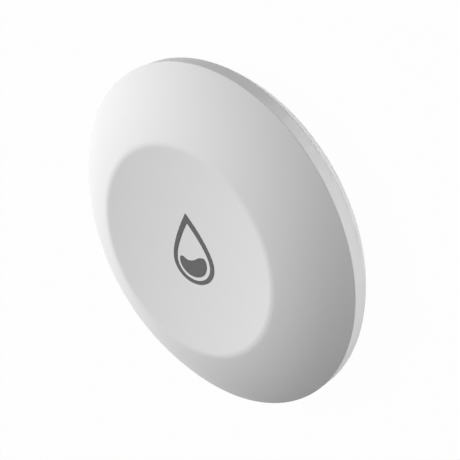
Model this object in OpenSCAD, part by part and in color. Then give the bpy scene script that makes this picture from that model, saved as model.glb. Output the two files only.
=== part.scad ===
// Round water leak sensor, lying on its four probe studs.
// Millimetres, +Z up, floor at z = 0, the drop symbol's tip points to +Y.

/* [Body] */
// Diameter at the widest line
body_d = 50; // [49:0.5:53]
// Height of the side, from the underside to the widest line
side_h = 4.6; // [4.4:0.1:4.8]
// Draft of the cover's side below the widest line, in degrees
side_draft = 5; // [3:0.5:9]
// Lean of the base's side at the seam, in degrees
base_lean = 30; // [22:1:34]
// Radius of the base's rounded side
base_round = 9.3; // [8.5:0.1:11]
// Height of the seam between cover and base above the underside
seam_h = 2.6; // [2.3:0.1:2.8]
// Open width of the seam
seam_gap = 0.12; // [0.05:0.01:0.25]
// Rise of the shoulder from the widest line to the crest
shoulder_rise = 5.75; // [5.65:0.05:6.4]
// Diameter of the crest round the dish
crest_d = 30.4; // [30:0.1:31.4]
// Slope of the shoulder where it leaves the crest, in degrees
crest_slope = 20; // [16:1:24]
// Radius of the crest's rounding
crest_round = 2.2; // [1.4:0.1:2.8]
// Wall of the cover's shoulder
cover_wall = 1.4; // [1.2:0.05:1.5]
// Thickness of the cover's skirt at the widest line
skirt_wall = 2.4; // [2.2:0.1:2.6]
// Thickness of the base's floor
floor_t = 1.6; // [1.4:0.1:1.9]
// Wall of the base's upstand inside the skirt
upstand_wall = 1.5; // [1.2:0.1:1.6]

/* [Press dish] */
// Distance from the crest to the edge of the press dish
dish_inset = 0.7; // [0.5:0.05:1]
// Depth of the dish's middle below the crest
dish_depth = 0.95; // [0.8:0.05:1.2]
// Thickness of the dish
dish_t = 1.1; // [0.9:0.05:1.3]
// Gap round the dish
dish_gap = 0.1; // [0.05:0.01:0.15]
// Thickness of the cover's lip over the dish's flange
lip_t = 1; // [0.8:0.05:1.1]
// How far the dish's flange reaches under the lip
flange_w = 0.75; // [0.5:0.05:0.85]
// Thickness of the dish's flange
flange_t = 0.7; // [0.5:0.05:0.8]
// Thickness of the sealing membrane under the flange
membrane_t = 0.4; // [0.3:0.05:0.6]
// Diameter of the post that presses the switch
post_d = 2.6; // [1.6:0.1:4]

/* [Drop symbol] */
// Width of the drop
drop_w = 7.58; // [6.4:0.02:8.4]
// Height of the drop
drop_h = 10.5; // [9.4:0.1:11.4]
// Angle between the drop's axis and its sides at the tip, in degrees
drop_tip_angle = 38; // [30:1:42]
// Width of the drop's line at its sides, before the shift of its inside
drop_line = 0.68; // [0.4:0.02:0.8]
// Width of the drop's line at its foot
drop_foot_line = 0.56; // [0.4:0.02:0.8]
// Length of the line's solid tip
drop_tip_line = 1.42; // [0.8:0.02:1.6]
// How far the inside of the line is shifted to the left
line_shift = 0.07; // [0:0.01:0.2]
// Gap between the line and the sides of the water, before the water's own shift
water_gap = 0.6; // [0.3:0.02:0.7]
// Gap between the line and the foot of the water
water_foot_gap = 0.48; // [0.3:0.02:0.7]
// How far the water is shifted to the left
water_shift = 0.16; // [0:0.01:0.2]
// Height of the wave's crest above its trough
wave_h = 0.78; // [0.4:0.02:1]
// Thickness of the ink
ink_t = 0.05; // [0.03:0.01:0.1]

/* [Probe studs] */
// How far the studs hold the underside above the floor
stud_proud = 0.6; // [0.3:0.05:0.9]
// Diameter of a stud's head
stud_head_d = 4.8; // [4:0.1:5]
// Thickness of a stud's head
stud_head_t = 1.1; // [1:0.05:1.2]
// Width of the hex socket in a stud's head
stud_socket_w = 1.6; // [1.2:0.1:2]
// Depth of the hex socket
stud_socket_depth = 0.6; // [0.4:0.05:0.7]
// Diameter of a stud's shank
stud_shank_d = 2; // [1.6:0.1:2.2]
// Thickness of the ring that seals a stud
stud_ring_t = 0.5; // [0.4:0.05:0.6]
// Diameter of the sleeve a stud screws into
sleeve_d = 3.8; // [3.4:0.1:4]

/* [Battery door] */
// Diameter of the door
door_d = 27.4; // [27.2:0.1:27.6]
// Thickness of the door under the cell
door_t = 1.5; // [1.3:0.05:1.7]
// Thickness of the door's flange
door_flange_t = 0.8; // [0.7:0.05:0.9]
// Thickness of the door's seal
door_seal_t = 0.5; // [0.4:0.05:0.6]
// Thickness of the ledge the lugs hold on to
ledge_t = 0.8; // [0.7:0.05:0.9]
// Angle that one lug covers
lug_angle = 28; // [20:1:32]
// Thickness of a lug
lug_t = 0.6; // [0.5:0.05:0.7]
// How far a lug reaches over the ledge
lug_reach = 0.9; // [0.7:0.05:1]
// Turn from locked to free, in degrees
door_turn = 40; // [36:1:48]
// Length of the coin slot
slot_l = 15; // [12:0.5:20]
// Width of the coin slot
slot_w = 1.8; // [1.4:0.1:2.6]
// Depth of the coin slot
slot_depth = 0.7; // [0.5:0.05:0.9]

/* [Cell and board] */
// Diameter of the coin cell
cell_d = 20; // [19.6:0.1:20.2]
// Height of the coin cell
cell_h = 3.2; // [3:0.05:3.4]
// Space between cell and board for the spring contact
board_gap = 0.7; // [0.6:0.05:0.9]
// Thickness of the circuit board
board_t = 1; // [0.8:0.05:1.2]
// Gap between the board's edge and what stands round it
board_edge_gap = 0.35; // [0.25:0.05:1.5]
// Thickness of the contact strips
contact_t = 0.2; // [0.15:0.01:0.25]
// Width of the contact strips
contact_w = 4; // [2.5:0.1:5]
// Width of the radio chip
chip_w = 6; // [4:0.5:7]

/* [Switch] */
// Width of the switch
switch_w = 5.2; // [4.6:0.1:6]
// Height of the switch's body
switch_h = 1; // [0.9:0.02:1.2]
// Thickness of the switch's metal cover
switch_plate_t = 0.15; // [0.1:0.01:0.2]
// Diameter of the stem
stem_d = 2.4; // [2:0.1:2.8]
// How far the stem stands above the metal cover
stem_rise = 0.35; // [0.32:0.01:0.5]

/* [Hidden] */
$fn = 96;

// Clearances that fits share
turn_fit = 0.1;
seat_fit = 0.05;
seal_fit = 0.02;
ink_fit = 0.005;

// Heights
z_base = stud_proud;
z_seam = z_base + seam_h;
z_crease = z_base + side_h;
z_crest = z_crease + shoulder_rise;
z_dish = z_crest - dish_depth;
z_lip = z_crest - lip_t;
z_flange = z_lip - seat_fit;
z_land = z_flange - flange_t;
z_floor = z_base + floor_t;
z_ledge = z_base + door_flange_t + door_seal_t;
z_ledge_top = z_ledge + ledge_t;
z_lug = z_ledge_top + seat_fit;
z_lug_top = z_lug + lug_t;
z_cell = z_base + door_t;
z_cell_top = z_cell + cell_h;
z_board = z_cell_top + board_gap;
z_board_top = z_board + board_t;
z_switch = z_board_top + switch_h;
z_plate = z_switch + switch_plate_t;
z_stem = z_plate + stem_rise;

// Radii
body_r = body_d / 2;
crest_r = crest_d / 2;
dish_r = crest_r - dish_inset;
open_r = dish_r + dish_gap;
flange_r = dish_r + flange_w;
pocket_r = flange_r + 0.15;
skirt_r = body_r - skirt_wall;
upstand_r = skirt_r - turn_fit;
inner_r = upstand_r - upstand_wall;
shank_r = stud_shank_d / 2;
sleeve_r = sleeve_d / 2;
boss_r = sleeve_r + 1.1;
door_r = door_d / 2;
recess_r = door_r + 0.15;
recess_wall_r = recess_r + 0.6;
stud_r = (recess_wall_r + inner_r) / 2;
cell_r = cell_d / 2;
cup_r = cell_r + 0.2;
plug_r = cup_r + 1.3;
bore_r = plug_r + turn_fit;
lug_r = plug_r + lug_reach;
lug_pocket_r = lug_r + 0.15;

// Side of the base: an arc that starts at the seam with a lean
seam_r = side_r(z_seam);
base_c = [seam_r - base_round * cos(base_lean), z_seam + base_round * sin(base_lean)];
base_foot = -asin((base_c.y - z_base) / base_round);

// Dish: a sphere that meets the crest's rounding tangentially
dish_sphere_r = (crest_r * crest_r + dish_depth * dish_depth) / (2 * dish_depth) - crest_round;
dish_centre = [0, z_dish + dish_sphere_r];
crest_in = asin(crest_r / (dish_sphere_r + crest_round));

// Shoulder: an arc that leaves the crest's rounding tangentially and ends at the widest line
crest_end = [crest_r + crest_round * sin(crest_slope), z_crest - crest_round * (1 - cos(crest_slope))];
shoulder_run = [body_r, z_crease] - crest_end;
shoulder_n = [sin(crest_slope), cos(crest_slope)];
shoulder_r = -(shoulder_run * shoulder_run) / (2 * (shoulder_run * shoulder_n));
shoulder_c = crest_end - shoulder_r * shoulder_n;
rim_slope = atan2(body_r - shoulder_c.x, z_crease - shoulder_c.y);

// Inside of the shoulder: the same arc, one wall further in
inside_r = shoulder_r - cover_wall;
land_slope = acos((z_land - shoulder_c.y) / inside_r);
land_r = shoulder_c.x + inside_r * sin(land_slope);
skirt_slope = asin((skirt_r - shoulder_c.x) / inside_r);
z_upstand = shoulder_c.y + inside_r * cos(skirt_slope) - 0.2;
board_slope = acos((z_board_top - shoulder_c.y) / inside_r);
board_r = min(shoulder_c.x + inside_r * sin(board_slope), inner_r) - board_edge_gap;

// Lap of skirt and upstand: the seal's groove below, the snap groove above
lap_h = z_upstand - z_seam;
seal_r = min(0.2 * lap_h, 0.45);
seal_z = z_seam + 0.36 * lap_h;
snap_z = z_seam + 0.78 * lap_h;
snap_h = 0.2 * lap_h;
snap_depth = 0.35;
snap_count = 6;
snap_angle = 24;

// Drop: its widest line as a share of the height, and how far its curves hold their direction
drop_belly = 0.69;
tip_pull = 0.76;
belly_pull = 0.12;
bow = 0.55;

stud_angles = [45, 135, 225, 315];
lug_angles = [0, 120, 240];
stop_angle = 4;
lug_play = 1.2;
notch_play = 0.6;

// Points of an arc after its first one
function arc(c, r, a0, a1, n) = [for (i = [1:n]) let (a = a0 + (a1 - a0) * i / n) c + r * [cos(a), sin(a)]];
// Points of an arc with both ends
function full_arc(c, r, a0, a1, n) = concat([c + r * [cos(a0), sin(a0)]], arc(c, r, a0, a1, n));
// Radius of the cover's side at a height
function side_r(z) = body_r - (z_crease - z) * tan(side_draft);
// Angle on a sphere over the dish, counted at its centre, for a distance from the axis
function dish_angle(r, sphere_r) = 270 + asin(r / sphere_r);
// Points of a Bezier curve after its first one
function bezier(p0, p1, p2, p3, n) = [
    for (i = [1:n])
        let (t = i / n, u = 1 - t)
        u * u * u * p0 + 3 * u * u * t * p1 + 3 * u * t * t * p2 + t * t * t * p3
];
// S-shaped curve, level at both ends
function wave_curve(p, q, n) =
    let (x = (p.x + q.x) / 2)
    bezier(p, [x, p.y], [x, q.y], q, n);
// Rounded corner that starts upright and ends level
function rising_corner(p, q, n) =
    bezier(p, [p.x, p.y + bow * (q.y - p.y)], [q.x + bow * (p.x - q.x), q.y], q, n);
// Rounded corner that starts level and ends upright
function falling_corner(p, q, n) =
    bezier(p, [p.x + bow * (q.x - p.x), p.y], [q.x, q.y + bow * (p.y - q.y)], q, n);
// Lower half of an ellipse, after its right end
function foot_curve(r, y, depth, n) =
    [for (i = [1:n]) let (a = -180 * i / n) [r * cos(a), y + depth * sin(a)]];
// Height of a drop's widest line
function belly_y(top, bottom) = top - drop_belly * (top - bottom);
// Outline of a drop: a convex side, half an ellipse below, the other side
function drop_points(w, top, bottom) =
    let (
        y = belly_y(top, bottom),
        tip = [0, top],
        lean = tip_pull * (top - y) * [sin(drop_tip_angle), -cos(drop_tip_angle)],
        side = bezier(tip, tip + lean, [w / 2, y + belly_pull * (top - y)], [w / 2, y], 18)
    )
    concat(
        [tip], side, foot_curve(w / 2, y, y - bottom, 40),
        [for (i = [len(side) - 2:-1:0]) [-side[i].x, side[i].y]]
    );

// Part of a ring between two angles
module sector(r0, r1, z0, z1, a0, a1) {
    rotate([0, 0, a0])
        rotate_extrude(angle = a1 - a0)
            translate([r0, z0])
                square([r1 - r0, z1 - z0]);
}

// A box centred in plan, standing on a height
module block(at, size) {
    translate([at.x - size.x / 2, at.y - size.y / 2, at.z])
        cube(size);
}

module at_studs() {
    for (a = stud_angles)
        rotate([0, 0, a])
            translate([stud_r, 0, 0])
                children();
}

// Cover with shoulder, crest, lip and skirt; snap beads inside the skirt
module top_cover() {
    bottom = z_seam + seam_gap;
    outside = concat(
        [[side_r(bottom), bottom]],
        full_arc(shoulder_c, shoulder_r, 90 - rim_slope, 90 - crest_slope, 24),
        arc([crest_r, z_crest - crest_round], crest_round, 90 - crest_slope, 90 + crest_in, 10),
        arc(dish_centre, dish_sphere_r, 270 + crest_in, dish_angle(open_r, dish_sphere_r), 2)
    );
    inside = concat(
        [[open_r, z_lip], [pocket_r, z_lip], [pocket_r, z_land]],
        full_arc(shoulder_c, inside_r, 90 - land_slope, 90 - skirt_slope, 16),
        [[skirt_r, bottom]]
    );
    color("white")
        union() {
            rotate_extrude()
                polygon(concat(outside, inside));
            for (i = [0:snap_count - 1])
                rotate([0, 0, i * 360 / snap_count])
                    rotate_extrude(angle = snap_angle)
                        polygon([
                            [skirt_r + 0.3, snap_z - snap_h / 2],
                            [skirt_r, snap_z - snap_h / 2],
                            [skirt_r - snap_depth, snap_z],
                            [skirt_r, snap_z + snap_h / 2],
                            [skirt_r + 0.3, snap_z + snap_h / 2]
                        ]);
        }
}

// Dish that is pressed: a shallow bowl with a flange under the cover's lip and a post to the switch
module press_dish() {
    rim_in = dish_r - 0.8;
    under_r = dish_sphere_r + dish_t;
    color("whitesmoke")
        union() {
            rotate_extrude()
                polygon(concat(
                    full_arc(dish_centre, under_r, 270, dish_angle(rim_in, under_r), 8),
                    [[rim_in, z_land], [flange_r, z_land], [flange_r, z_flange], [dish_r, z_flange]],
                    full_arc(dish_centre, dish_sphere_r, dish_angle(dish_r, dish_sphere_r), 270, 12)
                ));
            translate([0, 0, z_stem])
                cylinder(d = post_d, h = z_dish - dish_t / 2 - z_stem);
        }
}

// Thin rubber ring that seals the gap round the dish
module dish_membrane() {
    color("gainsboro")
        translate([0, 0, z_land - membrane_t])
            difference() {
                cylinder(r = land_r - seat_fit, h = membrane_t);
                translate([0, 0, -1])
                    cylinder(r = dish_r - 0.6, h = membrane_t + 2);
            }
}

// Layer of ink on the dish's surface
module ink() {
    intersection() {
        translate([0, 0, z_dish - 0.5])
            linear_extrude(height = dish_depth + 1)
                children();
        translate([0, 0, dish_centre.y])
            difference() {
                sphere(r = dish_sphere_r - ink_fit);
                sphere(r = dish_sphere_r - ink_fit - ink_t);
            }
    }
}

// Sizes that the drop's line and water share
inner_w = drop_w - 2 * drop_line;
inner_top = drop_h / 2 - drop_tip_line;
inner_bottom = drop_foot_line - drop_h / 2;
water_r = inner_w / 2 - water_gap;
water_y = belly_y(inner_top, inner_bottom);

module drop_outline() {
    color("dimgray")
        ink()
            difference() {
                polygon(drop_points(drop_w, drop_h / 2, -drop_h / 2));
                translate([-line_shift, 0])
                    polygon(drop_points(inner_w, inner_top, inner_bottom));
            }
}

// Water with a low wave: a rounded ear at the left, a trough, and a crest that falls off to the right
module drop_water() {
    left = [-water_r, water_y];
    right = [water_r, water_y];
    trough = [-0.33 * water_r, water_y + 0.24 * wave_h];
    ear = [-0.86 * water_r, water_y + 0.82 * wave_h];
    crest = [0.82 * water_r, trough.y + wave_h];
    color("dimgray")
        ink()
            translate([-water_shift, 0])
                polygon(concat(
                    rising_corner(left, ear, 6),
                    wave_curve(ear, trough, 10),
                    wave_curve(trough, crest, 14),
                    falling_corner(crest, right, 10),
                    foot_curve(water_r, water_y, water_y - inner_bottom - water_foot_gap, 40)
                ));
}

// Base with bowl edge, upstand, door opening with bayonet ledge, and bosses for the studs
module base_shell() {
    groove_h = 2 * seal_r + 0.1;
    groove_r = upstand_r - 2 * seal_r + 0.06;
    snap_r = upstand_r - snap_depth;
    outline = concat(
        [[recess_r, z_base]],
        full_arc(base_c, base_round, base_foot, -base_lean, 12),
        [
            [upstand_r, z_seam],
            [upstand_r, seal_z - groove_h / 2], [groove_r, seal_z - groove_h / 2],
            [groove_r, seal_z + groove_h / 2], [upstand_r, seal_z + groove_h / 2],
            [upstand_r, snap_z - snap_h / 2], [snap_r, snap_z], [upstand_r, snap_z + snap_h / 2],
            [upstand_r, z_upstand], [inner_r, z_upstand], [inner_r, z_floor],
            [recess_wall_r, z_floor], [recess_wall_r, z_lug_top + seat_fit],
            [lug_pocket_r, z_lug_top + seat_fit], [lug_pocket_r, z_ledge_top],
            [bore_r, z_ledge_top], [bore_r, z_ledge], [recess_r, z_ledge]
        ]
    );
    color("ghostwhite")
        difference() {
            union() {
                rotate_extrude()
                    polygon(outline);
                at_studs()
                    translate([0, 0, z_floor - 0.5])
                        cylinder(r = boss_r, h = 1.5);
                for (a = lug_angles) {
                    closed = a + lug_angle / 2 + lug_play;
                    open = a - door_turn - lug_angle / 2 - lug_play;
                    for (s = [closed, open - stop_angle])
                        sector(
                            bore_r + 0.2, lug_pocket_r + 0.3, z_ledge_top - 0.2, z_lug_top,
                            s, s + stop_angle
                        );
                }
            }
            for (a = lug_angles)
                sector(
                    bore_r - 0.5, lug_pocket_r - 0.05, z_ledge - 0.5, z_ledge_top + 0.3,
                    a - door_turn - lug_angle / 2 - notch_play, a - door_turn + lug_angle / 2 + notch_play
                );
            at_studs() {
                translate([0, 0, z_base - 1])
                    cylinder(r = stud_head_d / 2 + turn_fit, h = stud_head_t + stud_ring_t - z_base + 1);
                cylinder(r = shank_r + turn_fit, h = z_floor + 3);
            }
        }
}

module cover_seal() {
    color("dimgray")
        rotate_extrude()
            translate([skirt_r - seal_fit - seal_r, seal_z])
                circle(r = seal_r);
}

// Door with a cup for the cell, three bayonet lugs and a coin slot
module battery_door() {
    edge = 0.3;
    color("white")
        difference() {
            union() {
                rotate_extrude()
                    polygon([
                        [0, z_base], [door_r - edge, z_base], [door_r, z_base + edge],
                        [door_r, z_base + door_flange_t], [plug_r, z_base + door_flange_t],
                        [plug_r, z_lug_top], [cup_r, z_lug_top], [cup_r, z_cell], [0, z_cell]
                    ]);
                for (a = lug_angles)
                    sector(plug_r - 0.4, lug_r, z_lug, z_lug_top, a - lug_angle / 2, a + lug_angle / 2);
            }
            block([0, 0, z_base - 1], [slot_l, slot_w, slot_depth + 1]);
        }
}

module door_seal() {
    color("dimgray")
        rotate_extrude()
            translate([lug_pocket_r + 0.1, z_base + door_flange_t])
                square([door_r - 0.2 - lug_pocket_r - 0.1, door_seal_t]);
}

module probe_studs() {
    edge = 0.3;
    head_r = stud_head_d / 2;
    color("silver")
        at_studs()
            difference() {
                rotate_extrude()
                    polygon([
                        [0, 0], [head_r - edge, 0], [head_r, edge], [head_r, stud_head_t],
                        [shank_r, stud_head_t], [shank_r, z_board - 0.3], [0, z_board - 0.3]
                    ]);
                translate([0, 0, -1])
                    cylinder(d = stud_socket_w / cos(30), h = stud_socket_depth + 1, $fn = 6);
            }
}

module probe_rings() {
    section_r = stud_ring_t / 2;
    color("dimgray")
        at_studs()
            translate([0, 0, stud_head_t + section_r])
                rotate_extrude()
                    translate([shank_r + seat_fit + section_r, 0])
                        circle(r = section_r - seal_fit);
}

module probe_sleeves() {
    bottom = z_floor + 1;
    color("goldenrod")
        at_studs()
            translate([0, 0, bottom])
                difference() {
                    cylinder(r = sleeve_r, h = z_board - bottom);
                    translate([0, 0, -1])
                        cylinder(r = shank_r + seat_fit, h = z_board - bottom + 2);
                }
}

module circuit_board() {
    notch_r = 1.2;
    color("darkgreen")
        translate([0, 0, z_board])
            difference() {
                cylinder(r = board_r, h = board_t);
                for (a = [0, 180])
                    rotate([0, 0, a])
                        translate([board_r, 0, -1])
                            cylinder(r = notch_r, h = board_t + 2);
            }
}

// Meandering copper strip near the board's edge
module antenna_trace() {
    line = 0.6;
    rise = 2.4;
    pitch = 1.5;
    turns = 6;
    copper_t = 0.05;
    start_x = -pitch * turns / 2;
    y = 0.68 * board_r;
    color("darkorange")
        union() {
            for (i = [0:turns])
                translate([start_x + i * pitch, y, z_board_top])
                    cube([line, rise, copper_t]);
            for (i = [0:turns - 1])
                translate([start_x + i * pitch, i % 2 == 0 ? y + rise - line : y, z_board_top])
                    cube([pitch + line, line, copper_t]);
        }
}

module radio_chip() {
    color("black")
        block([-0.44 * board_r, 0.3 * board_r, z_board_top], [chip_w, chip_w, 0.14 * chip_w]);
}

module crystal() {
    color("silver")
        block([-0.44 * board_r, -0.15 * board_r, z_board_top], chip_w * [0.53, 0.42, 0.12]);
}

// Small capacitors and resistors in two rows
module chip_parts() {
    size = chip_w * [0.14, 0.27, 0.1];
    pitch = 0.088 * board_r;
    row_y = 0.27 * board_r;
    color("tan") {
        for (i = [0:4])
            block([0.29 * board_r + pitch * i, row_y, z_board_top], size);
        for (i = [0:3])
            block([0.34 * board_r + pitch * i, -row_y, z_board_top], size);
    }
}

module status_led() {
    foot = chip_w * [0.27, 0.13, 0.05];
    at = [0, -0.3 * board_r, z_board_top];
    color("lightyellow")
        union() {
            block(at, foot);
            block(at, [0.6 * foot.x, foot.y, 2 * foot.z]);
        }
}

// Sizes that the switch's pieces share
switch_floor = z_board_top + 0.3;
dome_base_r = stem_d / 2 + 0.7;
dome_h = 0.3;
dome_t = 0.06;
stem_flange_r = stem_d / 2 + 0.4;
z_stem_flange = switch_floor + dome_h + seal_fit;

module switch_body() {
    color("dimgray")
        difference() {
            block([0, 0, z_board_top], [switch_w, switch_w, switch_h]);
            translate([0, 0, switch_floor])
                cylinder(r = dome_base_r + 0.1, h = switch_h);
        }
}

// Thin sprung dome under the stem
module switch_dome() {
    sphere_r = (dome_base_r * dome_base_r + dome_h * dome_h) / (2 * dome_h);
    centre = [0, switch_floor + dome_h - sphere_r];
    outer_a = acos(dome_base_r / sphere_r);
    inner_a = asin((sphere_r - dome_h) / (sphere_r - dome_t));
    color("silver")
        rotate_extrude()
            polygon(concat(
                full_arc(centre, sphere_r, outer_a, 90, 8),
                full_arc(centre, sphere_r - dome_t, 90, inner_a, 8)
            ));
}

module switch_cover() {
    color("silver")
        difference() {
            block([0, 0, z_switch], [switch_w, switch_w, switch_plate_t]);
            translate([0, 0, z_switch - 1])
                cylinder(r = stem_d / 2 + seat_fit, h = switch_plate_t + 2);
        }
}

module switch_stem() {
    flange_h = 0.25;
    color("black")
        union() {
            translate([0, 0, z_stem_flange])
                cylinder(r = stem_flange_r, h = flange_h);
            translate([0, 0, z_stem_flange])
                cylinder(d = stem_d, h = z_stem - z_stem_flange);
        }
}

module switch_terminals() {
    foot = [0.9, 0.7, 0.15];
    color("silver")
        for (sx = [-1, 1], sy = [-1, 1])
            block([sx * (switch_w + foot.x) / 2, sy * 0.35 * switch_w, z_board_top], foot);
}

// Bent strip under the board that presses on the cell's cap
module minus_contact() {
    top = z_cell_top + contact_t;
    touch = 0.12 * cell_r;
    tail = 0.26 * cell_r;
    heel = -0.5 * cell_r;
    end = -0.8 * cell_r;
    color("gold")
        translate([0, contact_w / 2, 0])
            rotate([90, 0, 0])
                linear_extrude(height = contact_w)
                    polygon([
                        [end, z_board], [heel, z_board], [0, top], [touch, top], [tail, z_board - contact_t],
                        [tail, z_board - 2 * contact_t], [touch, z_cell_top], [0, z_cell_top],
                        [heel - contact_t / 2, z_board - contact_t], [end, z_board - contact_t]
                    ]);
}

// Bent strip under the board that presses on the side of the cell's can
module plus_contact() {
    touch_r = cell_r + seat_fit;
    back_r = 1.06 * cell_r;
    end_r = 1.36 * cell_r;
    touch_z = (z_lug_top + z_cell_top) / 2;
    foot_z = z_lug_top + 0.3;
    bend_z = z_board - 2.5 * contact_t;
    color("gold")
        rotate([90, 0, 90])
            translate([0, 0, -contact_w / 2])
                linear_extrude(height = contact_w)
                    polygon([
                        [end_r, z_board], [back_r, z_board], [back_r, bend_z],
                        [touch_r, touch_z], [back_r, foot_z], [back_r + contact_t, foot_z],
                        [touch_r + 1.2 * contact_t, touch_z], [back_r + contact_t, bend_z],
                        [back_r + contact_t, z_board - contact_t], [end_r, z_board - contact_t]
                    ]);
}

// Sizes that the cell's pieces share
can_t = 0.25;
can_h = 0.91 * cell_h;
can_lip = 0.75;
ring_t = 0.7;
cap_r = cell_r - can_t - ring_t - seat_fit;

// Steel can, its flat face down
module cell_can() {
    edge = 0.3;
    translate([0, 0, z_cell])
        color("silver")
            rotate_extrude()
                polygon([
                    [0, 0], [cell_r - edge, 0], [cell_r, edge], [cell_r, can_h - edge],
                    [cell_r - edge, can_h], [cell_r - can_lip, can_h], [cell_r - can_lip, can_h - can_t],
                    [cell_r - can_t, can_h - can_t], [cell_r - can_t, can_t], [0, can_t]
                ]);
}

// Plastic ring between can and cap
module cell_ring() {
    outer_r = cell_r - can_t - seal_fit;
    lip_r = cell_r - can_lip - seal_fit;
    translate([0, 0, z_cell])
        color("darkslategray")
            rotate_extrude()
                polygon([
                    [cap_r + seal_fit, can_t], [outer_r, can_t], [outer_r, can_h - can_t - seal_fit],
                    [lip_r, can_h - can_t - seal_fit], [lip_r, can_h], [cap_r + seal_fit, can_h]
                ]);
}

// Steel cap, the cell's upper face
module cell_cap() {
    edge = 0.4;
    translate([0, 0, z_cell])
        color("lightgray")
            rotate_extrude()
                polygon([
                    [0, cell_h], [cap_r - edge, cell_h], [cap_r, cell_h - edge], [cap_r, can_t + 0.2],
                    [cap_r - can_t, can_t + 0.2], [cap_r - can_t, cell_h - edge],
                    [cap_r - edge - can_t / 2, cell_h - can_t], [0, cell_h - can_t]
                ]);
}

// Filling of the cell
module cell_core() {
    translate([0, 0, z_cell + can_t])
        color("darkslategray")
            cylinder(r = cap_r - can_t - 0.3, h = cell_h - 2 * can_t);
}

top_cover();
press_dish();
dish_membrane();
drop_outline();
drop_water();
base_shell();
cover_seal();
battery_door();
door_seal();
probe_studs();
probe_rings();
probe_sleeves();
circuit_board();
antenna_trace();
radio_chip();
crystal();
chip_parts();
status_led();
switch_body();
switch_dome();
switch_cover();
switch_stem();
switch_terminals();
minus_contact();
plus_contact();
cell_can();
cell_ring();
cell_cap();
cell_core();
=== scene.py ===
"""Dresses the frame of a round water leak sensor: skins, finishes, studio and camera."""

import math

import bmesh
import bpy
from mathutils import Matrix, Vector


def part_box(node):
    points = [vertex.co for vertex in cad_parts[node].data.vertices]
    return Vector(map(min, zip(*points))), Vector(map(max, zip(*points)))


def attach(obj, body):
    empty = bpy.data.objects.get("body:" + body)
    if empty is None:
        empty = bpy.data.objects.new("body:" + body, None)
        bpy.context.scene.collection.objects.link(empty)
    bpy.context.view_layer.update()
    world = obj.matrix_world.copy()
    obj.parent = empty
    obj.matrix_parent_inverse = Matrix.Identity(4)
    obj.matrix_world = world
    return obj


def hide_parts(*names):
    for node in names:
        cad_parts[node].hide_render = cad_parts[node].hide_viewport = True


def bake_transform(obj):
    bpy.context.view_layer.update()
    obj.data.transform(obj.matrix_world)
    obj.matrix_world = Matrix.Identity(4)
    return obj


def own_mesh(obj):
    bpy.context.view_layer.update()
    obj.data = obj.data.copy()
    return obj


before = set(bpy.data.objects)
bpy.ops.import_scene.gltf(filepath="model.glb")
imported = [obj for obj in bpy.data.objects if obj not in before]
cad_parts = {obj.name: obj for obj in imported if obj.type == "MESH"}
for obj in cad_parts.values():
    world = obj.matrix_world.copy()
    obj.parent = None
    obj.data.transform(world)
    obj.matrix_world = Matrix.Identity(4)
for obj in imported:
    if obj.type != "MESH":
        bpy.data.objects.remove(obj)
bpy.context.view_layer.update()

bl_info = {
    "name": "Water Leak Sensor",
    "version": (1, 0, 0),
    "blender": (4, 5, 0),
    "location": "3D View > Sidebar > Leak Sensor",
    "description": "Dresses a round floor sensor that reports water",
    "category": "Object",
}

MM = 0.001
TURNS = 240
SMALL_TURNS = 64
LUG_STEPS = 16
SHARP_ANGLE = math.radians(32)
STUD_ANGLES = (45, 135, 225, 315)
LUG_ANGLES = (0, 120, 240)

# Roundings of small edges
FILLET = 0.3 * MM
SOFT_EDGE = 0.2 * MM
RIM_EDGE = 0.15 * MM
FINE_EDGE = 0.1 * MM

# Reach of a cutting solid past the face that it opens
OVERCUT = MM

# Length of a small chip part as a share of the radio chip's side, and its bare half as a share of that
PART_SHARE = 0.27
BARE_SHARE = 0.3

# Sheet of the switch dome, as a share of its rise
DOME_SHEET = 0.2

# Grain values between which a recipe spreads its roughness and shades
GRAIN_LOW = 0.3
GRAIN_HIGH = 0.7

# Width of the camera's sensor in millimetres, and the depth that it shows in metres
SENSOR_WIDTH = 36
NEAREST = 0.01
FARTHEST = 20


def length(label, about, millimetres):
    """A size in metres, written in millimetres."""
    return bpy.props.FloatProperty(
        name=label, description=about, default=millimetres * MM, unit="LENGTH", precision=5
    )


def angle(label, about, degrees):
    """An angle in radians, written in degrees."""
    return bpy.props.FloatProperty(
        name=label, description=about, default=math.radians(degrees), unit="ROTATION"
    )


def number(label, about, value):
    """A plain number."""
    return bpy.props.FloatProperty(name=label, description=about, default=value)


def colour(label, about, shade):
    """A linear colour."""
    return bpy.props.FloatVectorProperty(
        name=label, description=about, default=shade, subtype="COLOR", min=0, max=1
    )


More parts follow.
